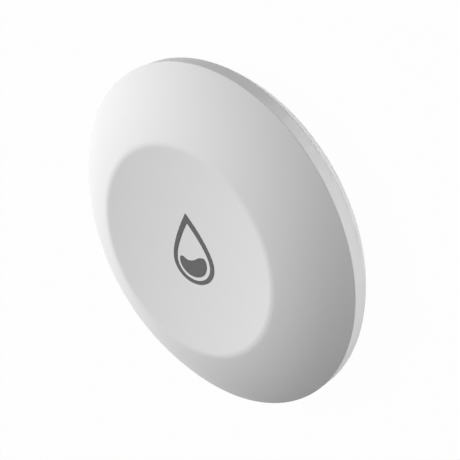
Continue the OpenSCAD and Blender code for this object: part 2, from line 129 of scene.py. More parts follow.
class BodySizes(bpy.types.PropertyGroup):
    """Sizes of the cover, dish and base."""

    body_radius: length("Body radius", "From the axis to the widest line", 25)
    underside: length("Underside", "Height of the base's underside above the floor", 0.6)
    crease_height: length("Widest line", "Height of the widest line above the floor", 5.2)
    crease_round: length("Widest line rounding", "Rounding of the edge at the widest line", 0.16)
    side_draft: angle("Side draft", "Draft of the cover's side below the widest line", 5)
    seam_height: length("Seam height", "Height of the seam between cover and base", 3.2)
    seam_gap: length("Seam gap", "Open width of the seam", 0.04)
    seam_round: length("Seam rounding", "Rounding of the two edges along the seam", 0.06)
    base_lean: angle("Base lean", "Lean of the base's side at the seam", 30)
    base_round: length("Base rounding", "Radius of the base's rounded side", 9.3)
    base_edge: length("Base edge", "Rounding of the edge round the underside", 0.3)
    crest_radius: length("Crest radius", "From the axis to the crest round the dish", 15.2)
    crest_height: length("Crest height", "Height of the crest above the floor", 10.95)
    crest_round: length("Crest rounding", "Radius of the crest's rounding", 2.2)
    crest_slope: angle("Crest slope", "Slope of the shoulder where it leaves the crest", 20)
    cover_wall: length("Cover wall", "Wall of the cover's shoulder", 1.4)
    skirt_radius: length("Skirt radius", "Inside of the cover's skirt", 22.6)
    lip_height: length("Lip height", "Underside of the lip round the dish", 9.95)
    pocket_radius: length("Pocket radius", "Pocket under the lip", 15.4)
    land_height: length("Land height", "Land that the sealing membrane lies against", 9.2)
    dish_depth: length("Dish depth", "Middle of the dish below the crest", 0.95)
    dish_wall: length("Dish wall", "Thickness of the dish", 1.1)
    post_radius: length("Post radius", "Post that presses the switch", 1.3)
    post_end: length("Post end", "Height of the post's lower end", 8.5)
    flex_drop: length("Flexing rim", "Height below the crest over which the dish's rim flexes", 0.5)
    floor_height: length("Floor height", "Inside of the base's floor", 2.2)
    upstand_radius: length("Upstand radius", "Outside of the base's upstand", 22.5)
    upstand_wall: length("Upstand wall", "Wall of the base's upstand", 1.5)
    upstand_height: length("Upstand height", "Top of the base's upstand", 5.25)
    recess_radius: length("Recess radius", "Recess that the battery door lies in", 13.85)
    recess_round: length("Recess rounding", "Rounding of the recess's edge", 0.2)
    ring_wall: length("Ring wall", "Wall of the bayonet ring outside the recess", 0.6)
    ledge_height: length("Ledge height", "Underside of the ledge that the lugs hold", 1.9)
    ledge_top: length("Ledge top", "Top of the ledge that the lugs hold", 2.7)
    bore_radius: length("Bore radius", "Opening for the cell", 11.6)
    lug_pocket: length("Lug pocket", "Pocket that the lugs turn in", 12.55)


class DoorSizes(bpy.types.PropertyGroup):
    """Sizes of the battery door and the probe studs."""

    door_radius: length("Door radius", "Outside of the battery door", 13.7)
    door_round: length("Door rounding", "Rounding of the door's lower edge", 0.3)
    flange: length("Door flange", "Thickness of the door's flange", 0.8)
    thickness: length("Door thickness", "Thickness of the door under the cell", 1.5)
    plug_radius: length("Plug radius", "Outside of the door's cup", 11.5)
    cup_radius: length("Cup radius", "Inside of the door's cup", 10.2)
    lug_radius: length("Lug radius", "Outside of the lugs", 12.4)
    lug_low: length("Lug underside", "Height of the lugs' underside", 2.75)
    lug_high: length("Lug top", "Height of the lugs' top", 3.35)
    lug_angle: angle("Lug angle", "Angle that one lug covers", 28)
    lug_play: length("Lug play", "Clearance of the lugs in their pocket", 0.05)
    gate_play: angle("Gate play", "Angle by which a gate is wider than its lug", 1.2)
    door_turn: angle("Door turn", "Turn from locked to free", 40)
    slot_length: length("Slot length", "Length of the coin slot", 15)
    slot_width: length("Slot width", "Width of the coin slot", 1.8)
    slot_depth: length("Slot depth", "Depth of the coin slot", 0.7)
    slot_round: length("Slot rounding", "Rounding of the coin slot's corners", 0.3)
    stud_circle: length("Stud circle", "From the axis to a stud", 17.725)
    head_radius: length("Stud head", "Radius of a stud's head", 2.4)
    head_round: length("Stud head rounding", "Rounding of a stud's head", 0.3)
    head_height: length("Stud head height", "Thickness of a stud's head", 1.1)
    head_gap: length("Stud gap", "Gap round a stud's head", 0.1)
    ring_room: length("Ring room", "Room for the seal above a stud's head", 0.5)
    shank_radius: length("Stud shank", "Radius of a stud's shank", 1)
    shank_end: length("Stud end", "Height of a stud's upper end", 5.7)
    socket_width: length("Stud socket", "Width of the hex socket in a stud", 1.6)
    socket_depth: length("Socket depth", "Depth of the hex socket", 0.6)


class FinishColours(bpy.types.PropertyGroup):
    """Colours of the finishes."""

    white_plastic: colour("White plastic", "Moulded cover, dish, base and door", (0.8, 0.8, 0.8))
    grey_ink: colour("Grey ink", "Printed drop", (0.138, 0.138, 0.138))
    black_rubber: colour("Black rubber", "Seals and rings", (0.022, 0.022, 0.023))
    pale_silicone: colour("Pale silicone", "Membrane behind the dish", (0.62, 0.62, 0.6))
    stainless: colour("Stainless steel", "Probe studs", (0.6, 0.59, 0.57))
    brass: colour("Brass", "Sleeves of the studs", (0.71, 0.5, 0.2))
    board_mask: colour("Board mask", "Lacquer on the circuit board", (0.012, 0.11, 0.04))
    copper: colour("Copper", "Antenna trace", (0.72, 0.36, 0.2))
    black_epoxy: colour("Black epoxy", "Radio chip", (0.018, 0.018, 0.02))
    tin_plate: colour("Tin plate", "Crystal, switch cover and terminals", (0.66, 0.66, 0.64))
    brown_ceramic: colour("Brown ceramic", "Small chip parts", (0.36, 0.23, 0.12))
    led_resin: colour("Light resin", "Status light", (0.85, 0.82, 0.62))
    black_plastic: colour("Black plastic", "Switch and cell ring", (0.025, 0.025, 0.026))
    gold_flash: colour("Gold flash", "Contact strips", (0.76, 0.62, 0.33))
    cell_steel: colour("Cell steel", "Can and cap of the coin cell", (0.68, 0.68, 0.67))
    cell_powder: colour("Cell powder", "Filling of the coin cell", (0.04, 0.04, 0.042))


class StudioSizes(bpy.types.PropertyGroup):
    """Camera, floor and surround."""

    bearing: angle("Bearing", "Camera direction round the axis, from +X towards +Y", 29.4)
    elevation: angle("Elevation", "Camera height above the floor plane", 38.18)
    roll: angle("Roll", "Turn of the camera about its own line of sight", 118.9)
    distance: length("Distance", "From the camera to the middle of the widest line", 375)
    aim_right: length("Aim right", "Aim to the right of that middle, in the picture", 1.8)
    aim_up: length("Aim up", "Aim above that middle, in the picture", 0.69)
    lens: number("Lens", "Focal length of the camera in millimetres", 216.8)
    floor_size: length("Floor", "Side of the floor", 4000)
    floor_gap: length("Floor gap", "Floor below the studs' flat ends", 0.02)
    floor_colour: colour("Floor colour", "Pale floor", (0.5, 0.5, 0.5))
    white_share: number("White share", "Share of plain white in the floor as it is seen", 0.98)
    surround_light: number("Surround light", "Strength of the even light from all round", 0.01)


def sizes():
    """The body's sizes in the open scene."""
    return bpy.context.scene.leak_sensor_body


def door_sizes():
    """The door's and studs' sizes in the open scene."""
    return bpy.context.scene.leak_sensor_door


def colours():
    """The finishes' colours in the open scene."""
    return bpy.context.scene.leak_sensor_colours


def studio():
    """The studio's settings in the open scene."""
    return bpy.context.scene.leak_sensor_studio


def arc(centre, radius, start, end, steps):
    """Points on an arc, both ends included; angles from the outward direction, upwards positive."""
    turns = [start + (end - start) * i / steps for i in range(steps + 1)]
    return [(centre[0] + radius * math.cos(t), centre[1] + radius * math.sin(t), 0) for t in turns]


def soft_outline(corners, steps=5):
    """Outline of (radius, height) points from corners that each have a rounding of their own."""
    points = []
    for i, (radius, height, rounding) in enumerate(corners):
        here = Vector((radius, height))
        if not rounding:
            points.append(here)
            continue
        before = (Vector(corners[i - 1][:2]) - here).normalized()
        after = (Vector(corners[(i + 1) % len(corners)][:2]) - here).normalized()
        half = before.angle(after) / 2
        centre = here + (before + after).normalized() * (rounding / math.sin(half))
        first = here + before * (rounding / math.tan(half)) - centre
        sweep = first.angle_signed(here + after * (rounding / math.tan(half)) - centre)
        for k in range(steps + 1):
            points.append(centre + Matrix.Rotation(-sweep * k / steps, 2) @ first)
    return points


def lathe(name, outline, turns=TURNS, start=0.0, sweep=math.tau):
    """A closed solid from an outline of (radius, height) points, turned about the axis."""
    closed = sweep > math.tau - 1e-6
    count = turns if closed else turns + 1
    shape = bmesh.new()
    rings = []
    for radius, height in outline:
        if radius < 1e-9:
            rings.append([shape.verts.new((0, 0, height))])
            continue
        places = [start + sweep * i / turns for i in range(count)]
        ring = [shape.verts.new((radius * math.cos(p), radius * math.sin(p), height)) for p in places]
        rings.append(ring)
    for one, two in zip(rings, rings[1:] + rings[:1]):
        for i in range(turns):
            j = (i + 1) % count
            corners = [one[i % len(one)], one[j % len(one)], two[j % len(two)], two[i % len(two)]]
            corners = list(dict.fromkeys(corners))
            if len(corners) > 2:
                shape.faces.new(corners)
    if not closed:
        shape.faces.new([ring[0] for ring in rings])
        shape.faces.new([ring[-1] for ring in rings])
    bmesh.ops.recalc_face_normals(shape, faces=shape.faces)
    return place(name, shape)


def prism(name, outline, low, high):
    """A closed solid with an outline of (x, y) points between two heights."""
    shape = bmesh.new()
    bottom = [shape.verts.new((x, y, low)) for x, y in outline]
    top = [shape.verts.new((x, y, high)) for x, y in outline]
    shape.faces.new(bottom)
    shape.faces.new(top)
    for i in range(len(outline)):
        j = (i + 1) % len(outline)
        shape.faces.new((bottom[i], bottom[j], top[j], top[i]))
    bmesh.ops.recalc_face_normals(shape, faces=shape.faces)
    return place(name, shape)


def place(name, shape):
    """An object in the scene from a finished mesh under construction."""
    mesh = bpy.data.meshes.new(name)
    shape.to_mesh(mesh)
    shape.free()
    piece = bpy.data.objects.new(name, mesh)
    bpy.context.scene.collection.objects.link(piece)
    return piece


def combine(piece, tool, operation):
    """Joins a helper solid to a piece or cuts it out, and drops the helper."""
    step = piece.modifiers.new("step", "BOOLEAN")
    step.operation = operation
    step.solver = "EXACT"
    step.object = tool
    shaped = bpy.data.meshes.new_from_object(piece.evaluated_get(bpy.context.evaluated_depsgraph_get()))
    piece.modifiers.clear()
    piece.data = shaped
    shaped.name = piece.name
    bpy.data.objects.remove(tool)


def settle(piece, finish, body=None):
    """Smooth shading with crisp edges, a finish and a body to ride on."""
    piece.data.shade_smooth()
    piece.data.set_sharp_from_angle(angle=SHARP_ANGLE)
    piece.data.materials.clear()
    piece.data.materials.append(finish)
    normals = piece.modifiers.new("even shading", "WEIGHTED_NORMAL")
    normals.keep_sharp = True
    if body:
        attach(piece, body)


def dress(node, finish):
    """Puts a finish on a piece of the frame."""
    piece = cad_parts[node]
    piece.data.materials.clear()
    piece.data.materials.append(finish)


class Recipe:
    """A material under construction: one surface shader and the nodes that feed it."""

    def __init__(self, name, shade, roughness, metal=0.0):
        self.material = bpy.data.materials.new(name)
        self.material.use_nodes = True
        self.nodes = self.material.node_tree.nodes
        self.links = self.material.node_tree.links
        self.surface = self.nodes["Principled BSDF"]
        self.surface.inputs["Base Color"].default_value = (*shade, 1)
        self.surface.inputs["Roughness"].default_value = roughness
        self.surface.inputs["Metallic"].default_value = metal
        self.place = self.nodes.new("ShaderNodeTexCoord").outputs["Object"]
        self.material.diffuse_color = (*shade, 1)

    def noise(self, scale, detail=2.0, stretch=None):
        """Grain over the surface; scale counts the grains along a metre."""
        grain = self.nodes.new("ShaderNodeTexNoise")
        grain.inputs["Scale"].default_value = scale
        grain.inputs["Detail"].default_value = detail
        source = self.place
        if stretch:
            turn = self.nodes.new("ShaderNodeMapping")
            turn.inputs["Scale"].default_value = stretch
            self.links.new(source, turn.inputs["Vector"])
            source = turn.outputs["Vector"]
        self.links.new(source, grain.inputs["Vector"])
        return grain.outputs["Fac"]

    def spread(self, value, low, high):
        """A grain's middle range spread from one number to another."""
        reach = self.nodes.new("ShaderNodeMapRange")
        reach.inputs["From Min"].default_value = GRAIN_LOW
        reach.inputs["From Max"].default_value = GRAIN_HIGH
        reach.inputs["To Min"].default_value = low
        reach.inputs["To Max"].default_value = high
        self.links.new(value, reach.inputs["Value"])
        return reach.outputs["Result"]

    def tint(self, value, dark, light):
        """A grain turned into shades between two colours."""
        ramp = self.nodes.new("ShaderNodeValToRGB")
        ramp.color_ramp.elements[0].position = GRAIN_LOW
        ramp.color_ramp.elements[1].position = GRAIN_HIGH
        ramp.color_ramp.elements[0].color = (*dark, 1)
        ramp.color_ramp.elements[1].color = (*light, 1)
        self.links.new(value, ramp.inputs["Fac"])
        return ramp.outputs["Color"]

    def reckon(self, operation, value, other=0.0):
        """A value after one step of arithmetic with a number."""
        step = self.nodes.new("ShaderNodeMath")
        step.operation = operation
        step.inputs[1].default_value = other
        self.links.new(value, step.inputs[0])
        return step.outputs["Value"]

    def feed(self, socket, value):
        """Leads a value into one of the shader's sockets."""
        self.links.new(value, self.surface.inputs[socket])

    def bump(self, value, depth, strength=1.0):
        """Relief on the surface; depth in metres."""
        relief = self.nodes.new("ShaderNodeBump")
        relief.inputs["Strength"].default_value = strength
        relief.inputs["Distance"].default_value = depth
        self.links.new(value, relief.inputs["Height"])
        self.feed("Normal", relief.outputs["Normal"])


def shades(shade, share):
    """A colour a share darker and a share lighter."""
    dark = tuple(c * (1 - share) for c in shade)
    light = tuple(min(c * (1 + share), 1) for c in shade)
    return dark, light


def moulded(name, shade, roughness, grain=5200, depth=2.2e-6):
    """Moulded plastic with a fine spark-eroded grain and faint flow clouds."""
    made = Recipe(name, shade, roughness)
    made.feed("Base Color", made.tint(made.noise(70), *shades(shade, 0.012)))
    made.feed("Roughness", made.spread(made.noise(260), roughness - 0.04, roughness + 0.04))
    made.bump(made.noise(grain, 3), depth, 0.5)
    made.surface.inputs["Specular IOR Level"].default_value = 0.4
    return made.material


def printed(name, shade):
    """Pad-printed ink: matt, with a faint mottle and a rough film."""
    made = Recipe(name, shade, 0.62)
    made.feed("Base Color", made.tint(made.noise(2600, 4), *shades(shade, 0.05)))
    made.feed("Roughness", made.spread(made.noise(1800), 0.56, 0.7))
    made.bump(made.noise(9000, 2), 1.5e-6, 0.4)
    made.surface.inputs["Specular IOR Level"].default_value = 0.3
    return made.material


def rubber(name, shade):
    """Soft rubber with a dusty bloom."""
    made = Recipe(name, shade, 0.72)
    made.feed("Base Color", made.tint(made.noise(900, 4), *shades(shade, 0.14)))
    made.feed("Roughness", made.spread(made.noise(1500), 0.64, 0.82))
    made.bump(made.noise(6000, 3), 3e-6, 0.6)
    made.surface.inputs["Specular IOR Level"].default_value = 0.35
    return made.material


def turned_metal(name, shade, roughness, rings):
    """Metal from the lathe: fine rings round the piece's own axis."""
    made = Recipe(name, shade, roughness, 1.0)
    split = made.nodes.new("ShaderNodeSeparateXYZ")
    made.links.new(made.place, split.inputs["Vector"])
    reach = made.nodes.new("ShaderNodeVectorMath")
    reach.operation = "LENGTH"
    flat = made.nodes.new("ShaderNodeCombineXYZ")
    made.links.new(split.outputs["X"], flat.inputs["X"])
    made.links.new(split.outputs["Y"], flat.inputs["Y"])
    made.links.new(flat.outputs["Vector"], reach.inputs[0])
    wave = made.nodes.new("ShaderNodeTexNoise")
    wave.noise_dimensions = "1D"
    wave.inputs["Scale"].default_value = rings
    wave.inputs["Detail"].default_value = 3
    made.links.new(reach.outputs["Value"], wave.inputs["W"])
    made.feed("Roughness", made.spread(wave.outputs["Fac"], roughness - 0.06, roughness + 0.1))
    made.feed("Base Color", made.tint(made.noise(700, 4), *shades(shade, 0.05)))
    made.bump(wave.outputs["Fac"], 4e-6, 0.5)
    return made.material


def brushed_metal(name, shade, roughness, stretch):
    """Rolled or plated metal with fine drawn lines."""
    made = Recipe(name, shade, roughness, 1.0)
    lines = made.noise(1200, 4, stretch)
    made.feed("Roughness", made.spread(lines, roughness - 0.08, roughness + 0.1))
    made.feed("Base Color", made.tint(made.noise(500, 4), *shades(shade, 0.06)))
    made.bump(lines, 3e-6, 0.4)
    return made.material


def lacquered_board(name, shade):
    """Green lacquer over a woven laminate, with a faint weave showing through."""
    made = Recipe(name, shade, 0.32)
    weave = made.nodes.new("ShaderNodeTexBrick")
    weave.inputs["Scale"].default_value = 900
    weave.inputs["Mortar Size"].default_value = 0.08
    made.links.new(made.place, weave.inputs["Vector"])
    made.feed("Base Color", made.tint(made.noise(400, 5), *shades(shade, 0.16)))
    made.feed("Roughness", made.spread(made.noise(800), 0.26, 0.4))
    made.bump(weave.outputs["Fac"], 5e-6, 0.3)
    return made.material


def capped_ceramic(name, shade, cap, row, reach):
    """Chip ceramic with tinned end caps: row is the rows' distance from the middle, reach the bare half."""
    made = Recipe(name, shade, 0.5)
    split = made.nodes.new("ShaderNodeSeparateXYZ")
    made.links.new(made.place, split.inputs["Vector"])
    side = made.reckon("ABSOLUTE", split.outputs["Y"])
    away = made.reckon("ABSOLUTE", made.reckon("SUBTRACT", side, row))
    ends = made.reckon("GREATER_THAN", away, reach)
    paint = made.nodes.new("ShaderNodeMix")
    paint.data_type = "RGBA"
    paint.inputs["B"].default_value = (*cap, 1)
    made.links.new(made.tint(made.noise(2200, 4), *shades(shade, 0.15)), paint.inputs["A"])
    made.links.new(ends, paint.inputs["Factor"])
    made.feed("Base Color", paint.outputs["Result"])
    made.feed("Metallic", ends)
    made.feed("Roughness", made.spread(made.noise(1800), 0.4, 0.6))
    made.bump(made.noise(5000, 3), 3e-6, 0.5)
    return made.material


def clear_resin(name, shade):
    """Clear-cast resin of the light, faintly cloudy."""
    made = Recipe(name, shade, 0.18)
    made.feed("Base Color", made.tint(made.noise(1500, 3), *shades(shade, 0.08)))
    made.feed("Roughness", made.spread(made.noise(1200), 0.12, 0.26))
    made.bump(made.noise(3500, 2), 2e-6, 0.3)
    made.surface.inputs["Subsurface Weight"].default_value = 0.4
    made.surface.inputs["Subsurface Radius"].default_value = (0.4 * MM, 0.35 * MM, 0.2 * MM)
    return made.material


def white_plastic():
    """The one white finish that cover, dish, base and door share."""
    return bpy.data.materials.get("white_plastic") or moulded("white_plastic", colours().white_plastic, 0.46)


def tin_plate():
    """The tin finish that the crystal and the switch's metal share."""
    return bpy.data.materials.get("tin_plate") or brushed_metal(
        "tin_plate", colours().tin_plate, 0.34, (1, 0.08, 1)
    )


def black_plastic():
    """The black finish that the switch and the cell's ring share."""
    return bpy.data.materials.get("black_plastic") or moulded(
        "black_plastic", colours().black_plastic, 0.5, 4200, 3e-6
    )


class Section:
    """Arcs of the body's section, worked out from its sizes."""

    def __init__(self, s):
        depth = s.dish_depth
        self.dish_low = s.crest_height - depth
        self.dish_sphere = (s.crest_radius**2 + depth**2) / (2 * depth) - s.crest_round
        self.dish_centre = (0, self.dish_low + self.dish_sphere)
        self.crest_in = math.asin(s.crest_radius / (self.dish_sphere + s.crest_round))
        self.crest_centre = (s.crest_radius, s.crest_height - s.crest_round)
        crease = Vector((s.body_radius, s.crease_height))
        crest_lean = Vector((math.sin(s.crest_slope), math.cos(s.crest_slope)))
        crest_end = Vector(self.crest_centre) + crest_lean * s.crest_round
        run = crease - crest_end
        self.shoulder = -run.length_squared / (2 * run.dot(crest_lean))
        self.shoulder_centre = crest_end - crest_lean * self.shoulder
        rim = crease - self.shoulder_centre
        self.rim_angle = math.atan2(rim.y, rim.x)
        self.crest_angle = math.pi / 2 - s.crest_slope
        seam = (s.body_radius - (s.crease_height - s.seam_height) * math.tan(s.side_draft), s.seam_height)
        seam_lean = Vector((math.cos(s.base_lean), -math.sin(s.base_lean)))
        self.base_centre = Vector(seam) - seam_lean * s.base_round
        self.foot_angle = -math.asin((self.base_centre.y - s.underside) / s.base_round)


def cover_corners(s, g):
    """Corners of the cover's section: side, shoulder and crest outside, skirt and land inside."""
    bottom = s.seam_height + s.seam_gap
    side = [(s.body_radius - (s.crease_height - bottom) * math.tan(s.side_draft), bottom, s.seam_round)]
    shoulder = arc(g.shoulder_centre, g.shoulder, g.rim_angle, g.crest_angle, 48)
    shoulder[0] = (*shoulder[0][:2], s.crease_round)
    crest = arc(g.crest_centre, s.crest_round, g.crest_angle, math.pi / 2, 14)
    inside = g.shoulder - s.cover_wall
    land = math.asin((s.land_height - g.shoulder_centre.y) / inside)
    skirt = math.acos((s.skirt_radius - g.shoulder_centre.x) / inside)
    under = [
        (s.crest_radius, s.lip_height, 0),
        (s.pocket_radius, s.lip_height, 0),
        (s.pocket_radius, s.land_height, 0),
    ]
    inner = arc(g.shoulder_centre, inside, land, skirt, 20)
    return side + shoulder + crest[1:] + under + inner + [(s.skirt_radius, bottom, s.seam_round)]


class SENSOR_OT_cover(bpy.types.Operator):
    """Top cover with its drafted side, shoulder and crest"""

    bl_idname = "leak_sensor.cover"
    bl_label = "Top Cover"

    def execute(self, context):
        s = sizes()
        cover = lathe("cover_skin", soft_outline(cover_corners(s, Section(s))))
        settle(cover, white_plastic(), "housing")
        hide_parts("top_cover")
        return {"FINISHED"}


class SENSOR_OT_dish(bpy.types.Operator):
    """Press dish: one skin with the crest, with a post to the switch"""

    bl_idname = "leak_sensor.dish"
    bl_label = "Press Dish"

    def execute(self, context):
        s = sizes()
        g = Section(s)
        under = g.dish_sphere + s.dish_wall
        low = -math.pi / 2
        top = arc(g.dish_centre, g.dish_sphere, low, low + g.crest_in, 60)
        top[0] = (0, g.dish_low, 0)
        crest = arc(g.crest_centre, s.crest_round, math.pi / 2 + g.crest_in, math.pi / 2, 10)
        rim_turn = math.asin(s.crest_radius / under)
        post_turn = math.asin(s.post_radius / under)
        below = arc(g.dish_centre, under, low + rim_turn, low + post_turn, 40)
        below[-1] = (*below[-1][:2], FILLET)
        post = [(s.post_radius, s.post_end, SOFT_EDGE), (0, s.post_end, 0)]
        dish = lathe("dish_skin", soft_outline(top + crest[1:] + below + post))
        settle(dish, white_plastic())
        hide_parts("press_dish")
        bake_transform(dish)
        return {"FINISHED"}


class SENSOR_OT_drop(bpy.types.Operator):
    """Printed drop: its line and the water inside it"""

    bl_idname = "leak_sensor.drop"
    bl_label = "Drop Symbol"

    def execute(self, context):
        ink = printed("grey_ink", colours().grey_ink)
        for node in ("drop_outline", "drop_water"):
            dress(node, ink)
        return {"FINISHED"}


def base_corners(s, g):
    """Corners of the base's section: underside, rounded side, upstand and the door's ledge."""
    low = s.underside
    side = arc(g.base_centre, s.base_round, g.foot_angle, -s.base_lean, 28)
    side[0] = (*side[0][:2], s.base_edge)
    side[-1] = (*side[-1][:2], s.seam_round)
    wall = s.recess_radius + s.ring_wall
    lug_top = door_sizes().lug_high + door_sizes().lug_play
    inner = s.upstand_radius - s.upstand_wall
    return (
        [(s.recess_radius, low, s.recess_round)]
        + side
        + [
            (s.upstand_radius, s.seam_height, 0),
            (s.upstand_radius, s.upstand_height, SOFT_EDGE),
            (inner, s.upstand_height, SOFT_EDGE),
            (inner, s.floor_height, FILLET),
            (wall, s.floor_height, SOFT_EDGE),
            (wall, lug_top, FINE_EDGE),
            (s.lug_pocket, lug_top, FINE_EDGE),
            (s.lug_pocket, s.ledge_top, 0),
            (s.bore_radius, s.ledge_top, FINE_EDGE),
            (s.bore_radius, s.ledge_height, FINE_EDGE),
            (s.recess_radius, s.ledge_height, 0),
        ]
    )


def stud_centre(turn):
    """Middle of a stud, at an angle in degrees."""
    reach = door_sizes().stud_circle
    return Vector((reach * math.cos(math.radians(turn)), reach * math.sin(math.radians(turn)), 0))


class SENSOR_OT_base(bpy.types.Operator):
    """Base with its rounded side, bayonet ledge and a counterbore for each stud"""

    bl_idname = "leak_sensor.base"
    bl_label = "Base"

    def execute(self, context):
        s = sizes()
        d = door_sizes()
        base = lathe("base_skin", soft_outline(base_corners(s, Section(s)), 4))
        bore = d.head_radius + d.head_gap
        hole = d.shank_radius + d.head_gap
        flare = 0.12 * MM
        step = d.head_height + d.ring_room
        top = s.floor_height + 2 * OVERCUT
        outline = [
            (0, s.underside - OVERCUT),
            (bore + flare + OVERCUT, s.underside - OVERCUT),
            (bore + flare, s.underside),
            (bore, s.underside + flare),
            (bore, step),
            (hole, step),
            (hole, top),
            (0, top),
        ]
        for turn in STUD_ANGLES:
            cutter = lathe("counterbore", outline, SMALL_TURNS)
            cutter.location = stud_centre(turn)
            combine(base, cutter, "DIFFERENCE")
        notch = d.lug_angle + d.gate_play
        gate_in = s.bore_radius - OVERCUT
        gate_out = s.lug_pocket - d.lug_play
        gate_low = s.ledge_height - 0.5 * OVERCUT
        gate_high = s.ledge_top + 0.3 * OVERCUT
        gate = [(gate_in, gate_low), (gate_out, gate_low), (gate_out, gate_high), (gate_in, gate_high)]
        for turn in LUG_ANGLES:
            first = math.radians(turn) - d.door_turn - notch / 2
            combine(base, lathe("lug_gate", gate, LUG_STEPS, first, notch), "DIFFERENCE")
        settle(base, white_plastic(), "housing")
        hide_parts("base_shell")
        return {"FINISHED"}


class SENSOR_OT_door(bpy.types.Operator):
    """Battery door with a cup for the cell, three bayonet lugs and a coin slot"""

    bl_idname = "leak_sensor.door"
    bl_label = "Battery Door"

    def execute(self, context):
        s = sizes()
        d = door_sizes()
        low = s.underside
        flange_edge = 0.12 * MM
        door = lathe("door_skin", soft_outline([
            (0, low, 0),
            (d.door_radius, low, d.door_round),
            (d.door_radius, low + d.flange, flange_edge),
            (d.plug_radius, low + d.flange, FINE_EDGE),
            (d.plug_radius, d.lug_high, RIM_EDGE),
            (d.cup_radius, d.lug_high, RIM_EDGE),
            (d.cup_radius, low + d.thickness, FILLET),
            (0, low + d.thickness, 0),
        ]))
        root = d.plug_radius - 0.4 * MM
        lug = [(root, d.lug_low), (d.lug_radius, d.lug_low), (d.lug_radius, d.lug_high), (root, d.lug_high)]
        for turn in LUG_ANGLES:
            first = math.radians(turn) - d.lug_angle / 2
            combine(door, lathe("lug", lug, LUG_STEPS, first, d.lug_angle), "UNION")
        half_l = d.slot_length / 2
        half_w = d.slot_width / 2
        corners = [(-half_l, -half_w), (half_l, -half_w), (half_l, half_w), (-half_l, half_w)]
        outline = soft_outline([(*corner, d.slot_round) for corner in corners], 6)
        combine(door, prism("slot", outline, low - OVERCUT, low + d.slot_depth), "DIFFERENCE")
        settle(door, white_plastic(), "door")
        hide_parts("battery_door")
        return {"FINISHED"}


class SENSOR_OT_studs(bpy.types.Operator):
    """Four turned probe studs with a hex socket, which are also the feet"""

    bl_idname = "leak_sensor.studs"
    bl_label = "Probe Studs"

    def execute(self, context):
        d = door_sizes()
        steel = turned_metal("stainless_steel", colours().stainless, 0.24, 9000)
        head_edge = 0.08 * MM
        outline = soft_outline([
            (0, 0, 0),
            (d.head_radius, 0, d.head_round),
            (d.head_radius, d.head_height, head_edge),
            (d.shank_radius, d.head_height, FINE_EDGE),
            (d.shank_radius, d.shank_end, RIM_EDGE),
            (0, d.shank_end, 0),
        ])
        corner = d.socket_width / 2 / math.cos(math.radians(30))
        hexagon = [
            (corner * math.cos(math.radians(60 * i)), corner * math.sin(math.radians(60 * i)))
            for i in range(6)
        ]
        for i, turn in enumerate(STUD_ANGLES):
            stud = lathe(f"probe_stud_{i + 1}", outline, SMALL_TURNS)
            combine(stud, prism("socket", hexagon, -OVERCUT, d.socket_depth), "DIFFERENCE")
            stud.location = stud_centre(turn)
            stud.rotation_euler.z = math.radians(turn)
            settle(stud, steel, "housing")
            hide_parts("probe_studs")
        return {"FINISHED"}


class SENSOR_OT_seals(bpy.types.Operator):
    """Rubber seals and the soft membrane behind the dish"""

    bl_idname = "leak_sensor.seals"
    bl_label = "Seals"

    def execute(self, context):
        black = rubber("black_rubber", colours().black_rubber)
        for node in ("cover_seal", "door_seal", "probe_rings"):
            dress(node, black)
        dress("dish_membrane", rubber("pale_silicone", colours().pale_silicone))
        return {"FINISHED"}


class SENSOR_OT_board(bpy.types.Operator):
    """Circuit board with antenna, chip, crystal, small parts, light and the studs' sleeves"""

    bl_idname = "leak_sensor.board"
    bl_label = "Circuit Board"

    def execute(self, context):
        c = colours()
        chip_low, chip_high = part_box("radio_chip")
        part_length = PART_SHARE * (chip_high.x - chip_low.x)
        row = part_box("chip_parts")[1].y - part_length / 2
        bare = BARE_SHARE * part_length
        ceramic = capped_ceramic("brown_ceramic", c.brown_ceramic, c.tin_plate, row, bare)
        dress("circuit_board", lacquered_board("board_laminate", c.board_mask))
        dress("antenna_trace", brushed_metal("copper", c.copper, 0.36, (1, 1, 1)))
        dress("radio_chip", moulded("black_epoxy", c.black_epoxy, 0.55, 3600, 4e-6))
        dress("crystal", tin_plate())
        dress("chip_parts", ceramic)
        dress("status_led", clear_resin("led_resin", c.led_resin))
        dress("probe_sleeves", brushed_metal("brass", c.brass, 0.3, (1, 1, 6)))
        return {"FINISHED"}


class SENSOR_OT_switch(bpy.types.Operator):
    """Push switch under the dish: body, cover, stem, terminals and a dome under the stem"""

    bl_idname = "leak_sensor.switch"
    bl_label = "Push Switch"

    def execute(self, context):
        for node in ("switch_body", "switch_stem"):
            dress(node, black_plastic())
        for node in ("switch_cover", "switch_terminals"):
            dress(node, tin_plate())
        low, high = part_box("switch_dome")
        rise = high.z - low.z
        sheet = DOME_SHEET * rise
        sphere = (high.x**2 + rise**2) / (2 * rise)
        centre = (0, high.z - sphere)
        outside = arc(centre, sphere, math.acos(high.x / sphere), math.pi / 2, 12)
        inside = arc(centre, sphere - sheet, math.pi / 2, math.asin((sphere - rise) / (sphere - sheet)), 12)
        outside[-1] = (0, high.z, 0)
        inside[0] = (0, high.z - sheet, 0)
        dome = lathe("dome_skin", soft_outline(outside + inside), SMALL_TURNS)
        settle(dome, tin_plate(), "housing")
        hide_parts("switch_dome")
        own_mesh(dome)
        return {"FINISHED"}


